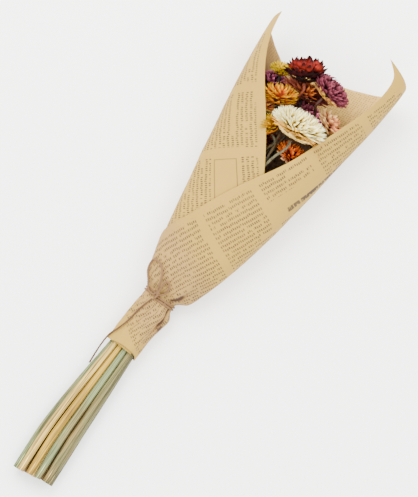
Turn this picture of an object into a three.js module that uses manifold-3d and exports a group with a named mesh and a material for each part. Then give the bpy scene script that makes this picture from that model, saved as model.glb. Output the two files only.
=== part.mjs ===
// Dried strawflower bouquet rolled in a newsprint cone and tied with jute twine.
// It lies on its back: +X runs from the cut stem ends to the blooms, +Z is up, z = 0 is the surface.

import * as THREE from 'three';
import Module from 'manifold-3d';

const wasm = await Module();
wasm.setup();

// Driving dimensions, millimetres and degrees.
const CLEARANCE = 0.3;
const PAPER_THICKNESS = 0.8;
const LAYER_PITCH = 1.8;
const LAYER_MIDDLE_ANGLE = 150;
const SHEET_COLUMNS = 35;
const NECK_X = -43;
const CUT_END_SLANT = 1.1;
const CUT_END_SPREAD = 1.5;
const TWINE_RADIUS = 0.9;
const TAIL_RADIUS = 0.75;
const TWINE_TURNS = 2;
const TWINE_PITCH = 2.2;
const TWINE_SIDES = 6;
const COIL_STEPS = 20;
const STEM_SIDES = 6;
const STEM_SEGMENTS = 13;
const STEM_RADII = { cut: 2.9, neck: 1.8, bloom: 1.0 };

// The bundle of stems from the cut ends to the neck: where each cross-section lies and how
// far apart its stems are.
const STEM_BUNDLES = [
  { x: -221, y: 0.8, z: 8.5, columnPitch: 7.3, rowPitch: 5.7 },
  { x: -185, y: 2.5, z: 9.4, columnPitch: 7.2, rowPitch: 5.2 },
  { x: -165, y: 3.1, z: 9.9, columnPitch: 7.0, rowPitch: 4.8 },
  { x: -145, y: 3.0, z: 10.4, columnPitch: 6.4, rowPitch: 4.6 },
  { x: -105, y: 2.6, z: 11.5, columnPitch: 5.2, rowPitch: 4.0 },
  { x: -92, y: 2.4, z: 11.8, columnPitch: 4.75, rowPitch: 3.85 },
  { x: -61, y: 2.5, z: 12.3, columnPitch: 4.05, rowPitch: 3.5 },
  { x: -43, y: 2.1, z: 12.5, columnPitch: 4.0, rowPitch: 3.45 },
];

// Wrap cross-sections: [x, half-width, half-height, centre y, lowest z].
const WRAP_SECTIONS = [
  [-94, 13.9, 10.8, 2.8, 1.2],
  [-75, 13.9, 10.8, 2.7, 1.2],
  [-62, 14.7, 11.0, 1.5, 1.4],
  [-54, 15.1, 11.0, 0.6, 1.7],
  [-47, 13.3, 10.7, 1.4, 2.3],
  [-39.5, 13.6, 10.7, 1.3, 2.3],
  [-34, 19.8, 13.5, 0.1, 1.6],
  [-20, 25.4, 17.0, 0, 0.2],
  [10, 33.8, 21.0, -1, -1.2],
  [60, 43.3, 25.5, -1.1, -1.4],
  [130, 54.1, 31.0, 0.7, -1.5],
  [185, 60.4, 35.0, 0.7, -1.6],
  [220, 60.4, 36.0, 0.2, -1.6],
];

// Free edges of the sheet and its rim. Wrap angle 0 is underneath, 90 the right side, 180 the top.
const LEFT_EDGE = [[-94, -227], [-20, -225.5], [37, -222], [60, -214], [89, -187], [136, -150],
  [167, -125], [183, -113], [200, -106]];
const RIGHT_EDGE = [[-94, 277], [-20, 276], [0, 262], [11, 240], [27.5, 217], [89, 173],
  [132, 146.6], [167, 134], [192, 129], [209, 130.5], [219, 144]];
const RIM = [[-106, 200], [-88, 190], [-72, 184], [-60, 180], [-50, 175.5], [-41, 171.5],
  [-31, 167.5], [-10, 170.5], [18, 181], [53, 193], [90, 205.5], [115, 212.2], [144, 219]];
const PLEAT_DEPTH = [[-94, 0.7], [-54, 1.1], [-47, 0.2], [-39.5, 0.2], [-33, 1.0], [5, 0]];
const SHEET_STATIONS = [-94, -84, -72, -62, -54, -47, -43, -39.5, -36.5, -33, -24, -12, 4];
const SHEET_UPPER_STEPS = 9;

// Blooms: centre, heading and pitch of the axis they face along, radius, half-depth,
// petals in a collar, collars, bundle slot [column, row], stem waypoints and colours.
const BLOOMS = [
  { name: 'red', at: [173.5, 14.3, 50], heading: 30, pitch: 5, radius: 15.5, depth: 10.5, petals: 9,
    collars: 4, cup: true, slot: [-0.5, 1], via: [[20, -0.2, 25], [100, -1.7, 37], [136, 5.3, 37],
      [160, 8.3, 46]], colour: 0xb8323a, stem: 0x9da283 },
  { name: 'purple', at: [172, -11.7, 48], heading: -12, pitch: 0, radius: 17.5, depth: 9, petals: 14,
    collars: 6, slot: [-1, 0], via: [[20, -2.2, 20], [100, -1.6, 27], [120, -2.6, 30],
      [136, -6.4, 34], [152, -13.5, 38]], colour: 0x7d2a50, stem: 0x9da283 },
  { name: 'maroon', at: [160.5, 3.3, 29], heading: 6, pitch: 0, radius: 19, depth: 7.5, petals: 14,
    collars: 6, slot: [0.5, -1], via: [[20, 1.8, 10], [100, 0.8, 24], [136, 1.8, 26]],
    colour: 0xa9452f, stem: 0xa6a98a },
  { name: 'lemon', at: [163.5, 30.6, 33], heading: 20, pitch: 5, radius: 9.8, depth: 6, petals: 11,
    collars: 5, slot: [2, 0], via: [[20, 14.8, 15], [60, 20.8, 17], [112, 21.8, 20], [135, 16.8, 24],
      [148, 21.8, 31]], colour: 0xe3cf2c, stem: 0xdcc48c },
  { name: 'plum', at: [153, 30.3, 18.5], heading: 15, pitch: 0, radius: 12.5, depth: 7, petals: 11,
    collars: 5, slot: [1.5, -1], via: [[20, 14.8, 11], [100, 24.8, 13], [125, 27.8, 15]],
    colour: 0x6b3158, stem: 0xd8c186 },
  { name: 'amber', at: [145.5, 19.3, 47], heading: 22, pitch: 5, radius: 14, depth: 8.5, petals: 12,
    collars: 6, slot: [1.5, 1], via: [[20, 10.8, 28], [60, 16.3, 35], [100, 25.3, 42], [116, 27.6, 47],
      [128, 22.8, 48.6]], colour: 0xeda63a, stem: 0xe0c990 },
  { name: 'salmon', at: [132, 25.8, 32], heading: 0, pitch: 0, radius: 10.5, depth: 7, petals: 10,
    collars: 5, slot: [1, 0], via: [[20, 10.8, 19], [60, 15.8, 24], [100, 24.8, 29]],
    colour: 0xdd8b6c, stem: 0xe2cc94 },
  { name: 'magenta', at: [146.5, -8.2, 20], heading: -15, pitch: 0, radius: 14.5, depth: 8,
    petals: 12, collars: 5, slot: [-0.5, -1], via: [[20, -2.2, 10], [100, -4.2, 12], [125, -3.2, 14]],
    colour: 0x9a3b6b, stem: 0x99a080 },
  { name: 'white', at: [134, -7.6, 56], heading: 6, pitch: 5, radius: 21.5, depth: 13, petals: 14,
    collars: 8, slot: [-1.5, 1], via: [[20, -7.2, 30], [60, -4, 40], [95, -3.9, 48]],
    colour: 0xf0e6ca, stem: 0xa3a88b },
  { name: 'yellow', at: [120.3, 14, 44.4], heading: 60, pitch: 10, radius: 11.5, depth: 8,
    petals: 11, collars: 5, slot: [0.5, 1], via: [[20, 3.8, 23], [60, 4.8, 28], [98, 4.8, 36]],
    colour: 0xf0c81e, stem: 0xaaab8c },
  { name: 'pink', at: [151, -26, 26.5], heading: -18, pitch: 0, radius: 12, depth: 7, petals: 11,
    collars: 4, slot: [-1.5, -1], via: [[20, -13.2, 11], [60, -19.2, 13], [112, -29.2, 17],
      [128, -25.2, 24]], colour: 0xcf9f8c, stem: 0x9ba284 },
  { name: 'orange', at: [112.5, -17, 33], heading: -2, pitch: 10, radius: 12.5, depth: 8,
    petals: 11, collars: 5, slot: [-2, 0], via: [[20, -10.2, 17], [60, -12.2, 24]],
    colour: 0xc8582d, stem: 0xa0a587 },
  { name: 'brick', at: [112, 8.3, 16.5], heading: 10, pitch: 0, radius: 11, depth: 7, petals: 11,
    collars: 5, slot: [0, 0], via: [[20, 5.8, 15], [60, 6.8, 15]], colour: 0x7e3024, stem: 0xa2a689 },
];

// Twine: [x, y, height above the paper], and where it is clear of the paper [x, y, z].
const KNOT = [-43, 5.6];
const LARGE_LOOP = [[-42.6, 12.6, 2.6], [-36, 18.1, 4.5], [-28.8, 23.3, 3.5], [-20.5, 24.0, 3.2],
  [-19.5, 18.4, 2.3], [-21.8, 14.6, 2.0], [-28, 10.4, 2.4], [-36.5, 7.4, 3.0]];
const SMALL_LOOP = [[-38.5, 1, 2.4], [-34, -0.2, 2.2], [-29.5, 1.8, 2.0], [-28.6, 5.4, 2.0],
  [-33, 5.8, 2.6]];
const TAIL_ON_PAPER = [[-49.5, 7.4, 2.3], [-60, 10.2, 1.9], [-71, 11.7, 2.0],
  [-81, 14.4, 2.4]];
const TAIL_BEYOND = [[-89, 17.4, 17.6], [-96, 18.2, 15.6], [-105.6, 18.1, 13.0],
  [-118, 17.2, 10.0]];

const rad = THREE.MathUtils.degToRad;

// Smooth interpolation through rows of [x, value, ...].
function along(rows, x, column = 1) {
  const last = rows.length - 1;
  if (x <= rows[0][0]) return rows[0][column];
  if (x >= rows[last][0]) return rows[last][column];
  const i = rows.findIndex((row) => row[0] > x) - 1;
  const slope = (k) => {
    const a = rows[Math.max(k - 1, 0)];
    const b = rows[Math.min(k + 1, last)];
    return (b[column] - a[column]) / (b[0] - a[0]);
  };
  const [p, q] = [rows[i], rows[i + 1]];
  const span = q[0] - p[0];
  const t = (x - p[0]) / span;
  const rise = q[column] - p[column];
  const curve = (1 - t) * (slope(i) * span - rise) - t * (slope(i + 1) * span - rise);
  return p[column] + rise * t + t * (1 - t) * curve;
}

function seeded(seed) {
  let state = (seed * 2654435761) % 4294967296;
  return () => {
    state = (state * 1664525 + 1013904223) % 4294967296;
    return state / 4294967296;
  };
}

// Point on the rolled sheet's middle surface, moved outward by offset.
function wrapPoint(x, angle, offset = 0) {
  const turn = rad(angle);
  const pleat = 0.6 * Math.cos(7 * turn + 0.6) + 0.4 * Math.cos(5 * turn - 1);
  const spiral = LAYER_PITCH * (angle - LAYER_MIDDLE_ANGLE) / 360;
  const out = spiral + offset + along(PLEAT_DEPTH, x) * pleat;
  const y = along(WRAP_SECTIONS, x, 3) - (along(WRAP_SECTIONS, x, 1) + out) * Math.sin(turn);
  const halfHeight = along(WRAP_SECTIONS, x, 2);
  const z = along(WRAP_SECTIONS, x, 4) + halfHeight - (halfHeight + out) * Math.cos(turn);
  return new THREE.Vector3(x, y, z);
}

function sheetAngle(x, across) {
  return THREE.MathUtils.lerp(along(LEFT_EDGE, x), along(RIGHT_EDGE, x), across);
}

function rimX(across) {
  let x = 190;
  for (let pass = 0; pass < 40; pass += 1) x = 0.5 * x + 0.5 * along(RIM, sheetAngle(x, across));
  return x;
}

// The sheet is a grid of stations along it and columns across it, with a face on each side.
function sheetGeometry() {
  const rows = SHEET_STATIONS.length + SHEET_UPPER_STEPS;
  const columns = SHEET_COLUMNS + 1;
  const lastFixed = SHEET_STATIONS[SHEET_STATIONS.length - 1];
  const positions = [];
  const half = PAPER_THICKNESS / 2;
  const place = (row, across) => {
    const upper = (row - SHEET_STATIONS.length + 1) / SHEET_UPPER_STEPS;
    return upper <= 0 ? SHEET_STATIONS[row] : THREE.MathUtils.lerp(lastFixed, rimX(across), upper);
  };
  const sides = [];
  for (let row = 0; row < rows; row += 1) {
    for (let column = 0; column < columns; column += 1) {
      const across = column / SHEET_COLUMNS;
      const x = place(row, across);
      const angle = sheetAngle(x, across);
      const point = wrapPoint(x, angle);
      const lengthwise = wrapPoint(x + 0.5, angle).sub(wrapPoint(x - 0.5, angle));
      const crosswise = wrapPoint(x, angle + 0.5).sub(wrapPoint(x, angle - 0.5));
      const inward = crosswise.cross(lengthwise).normalize();
      const inner = point.clone().addScaledVector(inward, half);
      const outer = point.clone().addScaledVector(inward, -half);
      inner.z = Math.max(inner.z, PAPER_THICKNESS);
      outer.z = Math.max(outer.z, 0);
      sides.push([inner, outer]);
    }
  }
  for (const side of [0, 1]) {
    for (const pair of sides) positions.push(pair[side].x, pair[side].y, pair[side].z);
  }
  const index = [];
  const under = rows * columns;
  const quad = (a, b, c, d) => index.push(a, b, c, a, c, d);
  for (let row = 0; row < rows - 1; row += 1) {
    for (let column = 0; column < SHEET_COLUMNS; column += 1) {
      const a = row * columns + column;
      const b = a + columns;
      quad(a, a + 1, b + 1, b);
      index.push(under + a, under + b + 1, under + a + 1, under + a, under + b, under + b + 1);
    }
    const left = row * columns;
    const right = left + SHEET_COLUMNS;
    quad(left, left + columns, under + left + columns, under + left);
    quad(right + columns, right, under + right, under + right + columns);
  }
  const top = (rows - 1) * columns;
  for (let column = 0; column < SHEET_COLUMNS; column += 1) {
    quad(column + 1, column, under + column, under + column + 1);
    quad(top + column, top + column + 1, under + top + column + 1, under + top + column);
  }
  const geometry = new THREE.BufferGeometry();
  geometry.setAttribute('position', new THREE.Float32BufferAttribute(positions, 3));
  geometry.setIndex(index);
  geometry.computeVertexNormals();
  return geometry;
}

// A cylinder bent along a row of points, with its own radius at each.
function bentCylinder(points, radiusAt, sides) {
  const segments = points.length - 1;
  const geometry = new THREE.CylinderGeometry(1, 1, 1, sides, segments);
  const frames = [];
  let normal = new THREE.Vector3(0, 0, 1);
  for (let k = 0; k <= segments; k += 1) {
    const before = points[Math.max(k - 1, 0)];
    const after = points[Math.min(k + 1, segments)];
    const tangent = after.clone().sub(before).normalize();
    if (Math.abs(tangent.dot(normal)) > 0.95) normal = new THREE.Vector3(1, 0, 0);
    normal = normal.clone().addScaledVector(tangent, -normal.dot(tangent)).normalize();
    frames.push([normal, normal.clone().cross(tangent)]);
  }
  const position = geometry.attributes.position;
  for (let i = 0; i < position.count; i += 1) {
    const k = Math.round((position.getY(i) + 0.5) * segments);
    const radius = radiusAt(k / segments);
    const moved = points[k].clone();
    moved.addScaledVector(frames[k][0], position.getX(i) * radius);
    moved.addScaledVector(frames[k][1], position.getZ(i) * radius);
    position.setXYZ(i, moved.x, moved.y, moved.z);
  }
  geometry.computeVertexNormals();
  return geometry;
}

function facing(bloom) {
  const [heading, pitch] = [rad(bloom.heading), rad(bloom.pitch)];
  return new THREE.Vector3(
    Math.cos(heading) * Math.cos(pitch), Math.sin(heading) * Math.cos(pitch), Math.sin(pitch));
}

// Layered collars of petals: every ring alternates tips and notches, turned half a petal
// from the ring below, and dips to a valley before the next collar.
function bloomGeometry(bloom, seed) {
  const random = seeded(seed);
  const segments = bloom.petals * 2;
  const [first, last] = bloom.cup ? [-62, 34] : [-42, 80];
  const step = (last - first) / bloom.collars;
  const rings = [{ angle: bloom.cup ? -80 : -64, scale: bloom.cup ? 0.7 : 0.82 }];
  for (let collar = 0; collar < bloom.collars; collar += 1) {
    const inward = bloom.cup && collar === bloom.collars - 1 ? 0.62 : 0.7;
    rings.push({ angle: first + collar * step, scale: inward });
    rings.push({ angle: first + (collar + 0.82) * step, scale: 1, collar });
  }
  rings.push({ angle: bloom.cup ? 52 : 84, scale: bloom.cup ? 0.4 : 0.8 });
  const profile = [new THREE.Vector2(0, -bloom.depth)];
  for (const ring of rings) {
    profile.push(new THREE.Vector2(
      bloom.radius * Math.cos(rad(ring.angle)), bloom.depth * Math.sin(rad(ring.angle))));
  }
  profile.push(new THREE.Vector2(0, bloom.depth * (bloom.cup ? 0.3 : 0.86)));
  const geometry = new THREE.LatheGeometry(profile, segments);
  const jitter = rings.map(() => Array.from({ length: segments }, () => 0.9 + 0.1 * random()));
  const position = geometry.attributes.position;
  for (let i = 0; i < position.count; i += 1) {
    const ringIndex = i % profile.length - 1;
    if (ringIndex < 0 || ringIndex >= rings.length) continue;
    const ring = rings[ringIndex];
    const column = Math.floor(i / profile.length) % segments;
    let scale = ring.scale;
    if (ring.collar !== undefined) {
      const tip = (column + ring.collar) % 2 === 0;
      scale = tip ? jitter[ringIndex][column] : 0.76;
    }
    position.setXYZ(
      i, position.getX(i) * scale, position.getY(i) * scale, position.getZ(i) * scale);
  }
  geometry.computeVertexNormals();
  return geometry;
}

// Stem from the cut end through its slot in the neck and its waypoints to the bloom's base.
function stemGeometry(bloom, seed) {
  const random = seeded(seed);
  const [column, row] = bloom.slot;
  const axis = facing(bloom);
  const base = new THREE.Vector3(...bloom.at).addScaledVector(axis, -bloom.depth - CLEARANCE);
  const approach = base.clone().addScaledVector(axis, -7);
  const route = STEM_BUNDLES.map((bundle) => new THREE.Vector3(
    bundle.x, bundle.y + column * bundle.columnPitch, bundle.z + row * bundle.rowPitch));
  route[0].x += CUT_END_SLANT * (2 - column) + CUT_END_SPREAD * random() * (2 - column) / 4;
  for (const point of bloom.via) route.push(new THREE.Vector3(...point));
  route.push(approach, base);
  const curve = new THREE.CatmullRomCurve3(route, false, 'centripetal');
  curve.arcLengthDivisions = 800;
  const points = [];
  for (let k = 0; k <= STEM_SEGMENTS; k += 1) {
    points.push(curve.getPointAt(1 - (1 - k / STEM_SEGMENTS) ** 1.5));
  }
  const radius = (share) => {
    const x = points[Math.round(share * STEM_SEGMENTS)].x;
    const lower = THREE.MathUtils.smoothstep(-x, -NECK_X, -STEM_BUNDLES[0].x - 20);
    const upper = THREE.MathUtils.clamp((x - NECK_X) / 150, 0, 1);
    return x < NECK_X ? THREE.MathUtils.lerp(STEM_RADII.neck, STEM_RADII.cut, lower)
      : THREE.MathUtils.lerp(STEM_RADII.neck, STEM_RADII.bloom, upper);
  };
  return bentCylinder(points, radius, STEM_SIDES);
}

// Height of the paper's upper outside face at a place, plus a lift.
function overPaper([x, y, lift]) {
  const across = THREE.MathUtils.clamp(
    (along(WRAP_SECTIONS, x, 3) - y) / (along(WRAP_SECTIONS, x, 1) + 0.6), -0.97, 0.97);
  const angle = 180 - THREE.MathUtils.radToDeg(Math.asin(across));
  return new THREE.Vector3(x, y, wrapPoint(x, angle, 0).z + lift);
}

function smoothPath(points, count) {
  const curve = new THREE.CatmullRomCurve3(points, false, 'centripetal');
  return curve.getSpacedPoints(count);
}

function solidOf(geometry) {
  const position = geometry.attributes.position;
  const key = (i) => [position.getX(i), position.getY(i), position.getZ(i)]
    .map((value) => Math.round(value * 1000)).join();
  const seen = new Map();
  const vertices = [];
  const merged = [];
  for (let i = 0; i < position.count; i += 1) {
    if (!seen.has(key(i))) {
      seen.set(key(i), seen.size);
      vertices.push(position.getX(i), position.getY(i), position.getZ(i));
    }
    merged.push(seen.get(key(i)));
  }
  const triangles = [];
  for (let i = 0; i < geometry.index.count; i += 3) {
    const [a, b, c] = [0, 1, 2].map((corner) => merged[geometry.index.getX(i + corner)]);
    if (a !== b && b !== c && c !== a) triangles.push(a, b, c);
  }
  return new wasm.Manifold(new wasm.Mesh({
    numProp: 3,
    vertProperties: new Float32Array(vertices),
    triVerts: new Uint32Array(triangles),
  }));
}

function geometryOf(solid) {
  const mesh = solid.getMesh();
  const geometry = new THREE.BufferGeometry();
  geometry.setAttribute('position', new THREE.Float32BufferAttribute(mesh.vertProperties, 3));
  geometry.setIndex(Array.from(mesh.triVerts));
  geometry.computeVertexNormals();
  return geometry;
}

// Turns round the neck, with the knot and the two bow loops joined on.
function twineTieGeometry() {
  const stand = PAPER_THICKNESS / 2 + CLEARANCE + TWINE_RADIUS + 0.35;
  const steps = COIL_STEPS * TWINE_TURNS;
  const coil = [];
  for (let k = 0; k <= steps; k += 1) {
    const angle = 196 - 360 * (k / COIL_STEPS);
    const side = ((angle % 360) + 360) % 360;
    const layered = side > 283 ? side - 360 : side;
    const ease = THREE.MathUtils.smoothstep(side, 277, 330);
    const spiral = LAYER_PITCH / 360 * (side > 283 ? (1 - ease) * 360 : 0);
    const x = NECK_X + TWINE_PITCH * (k / COIL_STEPS - TWINE_TURNS / 2);
    coil.push(wrapPoint(x, layered, stand + spiral));
  }
  const knot = overPaper([...KNOT, stand + 1.1]);
  const knotCore = new THREE.SphereGeometry(1.9, 8, 6);
  knotCore.scale(1, 1.25, 0.95);
  knotCore.translate(knot.x, knot.y, knot.z);
  const round = () => TWINE_RADIUS;
  const loops = [LARGE_LOOP, SMALL_LOOP].map((loop) => {
    const points = [knot, ...loop.map(overPaper), knot.clone().add(new THREE.Vector3(0.4, -0.6, 0.6))];
    return bentCylinder(smoothPath(points, loop.length * 3), round, TWINE_SIDES);
  });
  const collarPath = [];
  for (let k = 0; k <= 10; k += 1) {
    const turn = rad(36 * k * 1.2);
    collarPath.push(knot.clone().add(new THREE.Vector3(
      2.1 * Math.cos(turn), -1.3 + 0.26 * k, 1.7 * Math.sin(turn))));
  }
  let solid = solidOf(bentCylinder(coil, round, TWINE_SIDES)).add(solidOf(knotCore));
  for (const loop of loops) solid = solid.add(solidOf(loop));
  solid = solid.add(solidOf(bentCylinder(collarPath, round, TWINE_SIDES)));
  return geometryOf(solid);
}

function twineTailGeometry() {
  const points = [...TAIL_ON_PAPER.map(overPaper),
    ...TAIL_BEYOND.map((point) => new THREE.Vector3(...point))];
  return bentCylinder(smoothPath(points, 20), () => TAIL_RADIUS, TWINE_SIDES);
}

function part(name, geometry, colour, roughness) {
  const material = new THREE.MeshStandardMaterial({ color: colour, roughness, metalness: 0 });
  const mesh = new THREE.Mesh(geometry, material);
  mesh.name = name;
  return mesh;
}

const group = new THREE.Group();
group.add(part('paper_wrap', sheetGeometry(), 0xd6ba8c, 0.85));
group.add(part('twine_tie', twineTieGeometry(), 0xb79a72, 0.95));
group.add(part('twine_tail', twineTailGeometry(), 0xb79a72, 0.95));
BLOOMS.forEach((bloom, order) => {
  const head = part(`bloom_${bloom.name}`, bloomGeometry(bloom, 11 + order), bloom.colour, 0.7);
  head.position.set(...bloom.at);
  head.quaternion.setFromUnitVectors(new THREE.Vector3(0, 1, 0), facing(bloom));
  group.add(head);
  group.add(part(`stem_${bloom.name}`, stemGeometry(bloom, 71 + order), bloom.stem, 0.75));
});

export default group;
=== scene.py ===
"""Dried chrysanthemum bouquet rolled in kraft newsprint, lying on its back."""

import math
import random

import bmesh
import bpy
from mathutils import Matrix, Vector, noise


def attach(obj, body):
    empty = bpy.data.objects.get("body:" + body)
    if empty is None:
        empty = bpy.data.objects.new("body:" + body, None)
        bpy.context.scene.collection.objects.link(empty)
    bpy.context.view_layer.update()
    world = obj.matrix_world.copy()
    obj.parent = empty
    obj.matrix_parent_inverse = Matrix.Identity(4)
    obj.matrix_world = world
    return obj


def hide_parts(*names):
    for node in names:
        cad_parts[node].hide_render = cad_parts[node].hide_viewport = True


bl_info = {
    "name": "Dried Bouquet",
    "version": (1, 0, 0),
    "blender": (4, 5, 0),
    "location": "View3D > Sidebar > Bouquet",
    "description": "Builds a dried bouquet in a newsprint cone over its packed frame",
    "category": "Object",
}

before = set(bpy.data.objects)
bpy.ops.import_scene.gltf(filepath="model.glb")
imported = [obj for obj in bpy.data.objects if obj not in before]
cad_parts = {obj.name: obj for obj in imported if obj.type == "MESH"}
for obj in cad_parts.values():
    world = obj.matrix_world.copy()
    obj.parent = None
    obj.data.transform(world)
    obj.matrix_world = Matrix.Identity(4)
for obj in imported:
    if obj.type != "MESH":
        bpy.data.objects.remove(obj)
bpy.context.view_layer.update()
MM = 0.001

# Wrap cross-sections: x, half-width, half-height, centre y, lowest z, in millimetres.
WRAP_SECTIONS = [
    (-94, 13.9, 10.8, 2.8, 1.2), (-75, 13.9, 10.8, 2.7, 1.2), (-62, 14.7, 11.0, 1.5, 1.4),
    (-54, 15.1, 11.0, 0.6, 1.7), (-47, 13.3, 10.7, 1.4, 2.3), (-39.5, 13.6, 10.7, 1.3, 2.3),
    (-34, 19.8, 13.5, 0.1, 1.6), (-20, 25.4, 17.0, 0, 0.2), (10, 33.8, 21.0, -1, -1.2),
    (60, 43.3, 25.5, -1.1, -1.4), (130, 54.1, 31.0, 0.7, -1.5), (185, 60.4, 35.0, 0.7, -1.6),
    (220, 60.4, 36.0, 0.2, -1.6),
]
# Edges of the sheet: x and wrap angle. Rim and skirt end: wrap angle and x.
LEFT_EDGE = [(-94, -227), (-20, -225.5), (37, -222), (60, -214), (89, -187), (136, -150),
             (167, -125), (183, -113), (200, -106)]
RIGHT_EDGE = [(-94, 277), (-20, 276), (0, 262), (11, 240), (27.5, 217), (89, 170.3), (132, 146.6),
              (167, 134), (192, 129), (209, 130.5), (219, 144)]
RIM = [(-106, 200), (-88, 190), (-72, 184), (-60, 180), (-50, 175.5), (-41, 171.5), (-31, 167.5),
       (-10, 170.5), (18, 181), (53, 193), (90, 205.5), (115, 212.2), (144, 219)]
# Depth of the soft waves round the wrap, at x.
PLEAT_DEPTH = [(-94, 0.7), (-54, 1.1), (-47, 0.2), (-39.5, 0.2), (-33, 1.0), (5, 0)]
SKIRT_END = [(-227, -93), (-100, -92), (60, -94.5), (92, -95.8), (115, -92.6), (150, -91.2),
             (180, -90.7), (210, -91.6), (235, -92.8), (277, -92.4)]
# Distance of the sheet's layers, the cone that it is rolled into, its pleats and its grid.
LAYER_PITCH = 1.8
LAYER_MIDDLE_ANGLE = 150
NECK_X = -43
CONE_APEX = -203
CONE_SLOPE = 0.13
FOLD_PITCH = 24
MOST_GATHERED = 0.44
UPPER_ROWS_FROM = 4
SHEET_GRID = (170, 216)
LOWEST_PAPER = 0.15

# Deep folds pinched in by the twine: x, wrap angle, depth, length and width, angles in degrees.
PINCHED_FOLDS = [
    (-34, 141, 2.6, 7, 10), (-50, 116, 2.0, 6, 12), (-60, 124, 1.8, 7, 9), (-31, 205, 1.5, 12, 8),
    (-57, 186, 1.3, 12, 8), (-29, 165, 1.2, 14, 7),
]

# Painted shade in the pockets between those folds: x, wrap angle, length and width.
POCKET_SHADES = [(-35, 139, 6, 8), (-47.5, 117, 5.5, 7), (-58, 119, 6.5, 7), (-63, 103, 3.5, 9)]

# Twine on the paper: x, y and height over it. Its last points lie free, in millimetres.
KNOT = (-43, 5.6)
LARGE_LOOP = [(-42.6, 12.6, 2.6), (-36, 18.1, 4.5), (-28.8, 23.3, 3.5), (-20.5, 24.0, 3.2),
              (-19.5, 18.4, 2.3), (-21.8, 14.6, 2.0), (-28, 10.4, 2.4), (-36.5, 7.4, 3.0)]
SMALL_LOOP = [(-38.5, 1, 2.4), (-34, -0.2, 2.2), (-29.5, 1.8, 2.0), (-28.6, 5.4, 2.0),
              (-33, 5.8, 2.6)]
TAIL_ON_PAPER = [(-46.8, 6.6, 2.6), (-60, 10.2, 1.9), (-71, 11.7, 2.0), (-81, 14.4, 2.4)]
TAIL_BEYOND = [(-89, 17.4, 17.6), (-96, 18.2, 15.6), (-105.6, 18.1, 13.0), (-118, 17.2, 10.0)]
TWINE_RADIUS = 0.9
TAIL_RADIUS = 0.75
TWINE_TURNS = 2
TWINE_PITCH = 2.2
TWINE_STAND = 1.95
COIL_STAND = 0.8
STRAND_GAP = 0.75
COIL_START = 196
FLAP_STEP = 283
STRAND_SIDES = 6
CURVE_STEPS = 6

# Loose fibre that lies over the edge of the right flap: x, y and height over the paper.
STRAY_FIBRE = [(127.9, -26.1, 1.2), (126.9, -29.6, 2.0), (125.0, -33.1, 1.8), (122.4, -35.5, 0.6)]

# Blooms: centre in millimetres, heading and pitch of the axis they face along in degrees,
# radius and half-depth.
BLOOMS = {
    "red": ((173.5, 14.3, 50), 30, 5, 15.5, 10.5),
    "purple": ((172, -11.7, 48), -12, 0, 17.5, 9),
    "maroon": ((160.5, 3.3, 29), 6, 0, 19, 7.5),
    "lemon": ((163.5, 30.6, 33), 20, 5, 9.8, 6),
    "plum": ((153, 30.3, 18.5), 15, 0, 12.5, 7),
    "amber": ((145.5, 19.3, 47), 22, 5, 14, 8.5),
    "salmon": ((132, 25.8, 32), 0, 0, 10.5, 7),
    "magenta": ((146.5, -8.2, 20), -15, 0, 14.5, 8),
    "white": ((134, -7.6, 56), 6, 5, 21.2, 11.4),
    "yellow": ((120.3, 14, 44.4), 60, 10, 11.5, 8),
    "pink": ((151, -26, 26.5), -18, 0, 12, 7),
    "orange": ((112.5, -17, 33), -2, 10, 12.5, 8),
    "brick": ((112, 8.3, 16.5), 10, 0, 11, 7),
}

GOLDEN_TURN = 2.39996
DARKEST_PETAL = 0.66
PETAL_CONTRAST = 0.52
PETAL_TWIST = 0.45
SPILL_PETALS = 10
STEM_SIDES = 60
STEM_RIBS = 10
LOWEST_STEM = 0.02

# Heart of a bloom: how far it sinks and how wide it is, against the bloom's form.
HEART_SHAPE = {"red": (0.35, 0.82)}
PLAIN_HEART = (0, 0.58)

# Reach of the petals of the fuller and the tighter blooms.
FULLNESS = {"lemon": 0.86, "amber": 0.93, "magenta": 1.16, "salmon": 1.2}

# Print on the flat sheet, in millimetres: letters, columns and the heading's lines.
LETTER_WIDTH = 1.7
COLUMN_PITCH = 51.0
COLUMN_START = 204.0
COLUMN_SHIFT = 36.0
HEADING_FOOT = 78.0
HEADING_SCALE = 1.9
NECK_PRINT_END = 199.0

# Places on the flat sheet: from and to lengthwise, from and to across.
PRINTED_BOX = (111, 396, -187, 115.5)
HEADING_BOX = (268, 330, 78, 86)
CLEAR_BOXES = [(257, 306, 74, 97), (306, 357, 74, 84), (190, 244, -173.0, -146.0)]
RULE_BOXES = [(196, 235.2, -169.2, -148.8), (196, 234.6, -168.4, -149.6)]

# Shapes of petals: arc from foot to tip in degrees, foot and tip against the bloom's form,
# breadth in millimetres, point, cup and outward curl of the tip.
HABITS = {
    "ray": (34, 0.96, 1.05, 3.0, 0.80, 0.25, 0.0),
    "bract": (46, 0.80, 1.16, 7.0, 0.85, 0.45, 0.06),
    "cup": (48, 0.62, 1.12, 9.5, 0.85, 0.60, 0.02),
    "scale": (34, 0.74, 1.07, 3.5, 0.75, 0.35, -0.02),
    "plume": (36, 0.52, 1.14, 3.8, 0.92, 0.30, 0.06),
    "quill": (22, 0.70, 1.12, 2.8, 0.95, 0.25, 0.02),
    "loose": (44, 0.55, 1.14, 6.5, 0.80, 0.45, 0.08),
}


def tone(red, green, blue):
    """Linear colour of a shade given in 0-255 screen values."""
    shade = []
    for value in (red, green, blue):
        value /= 255
        shade.append(value / 12.92 if value <= 0.04045 else ((value + 0.055) / 1.055) ** 2.4)
    return (*shade, 1.0)


def scaled(colour, factor):
    """The same colour made darker or paler."""
    return (*(min(part * factor, 1) for part in colour[:3]), 1.0)
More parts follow.
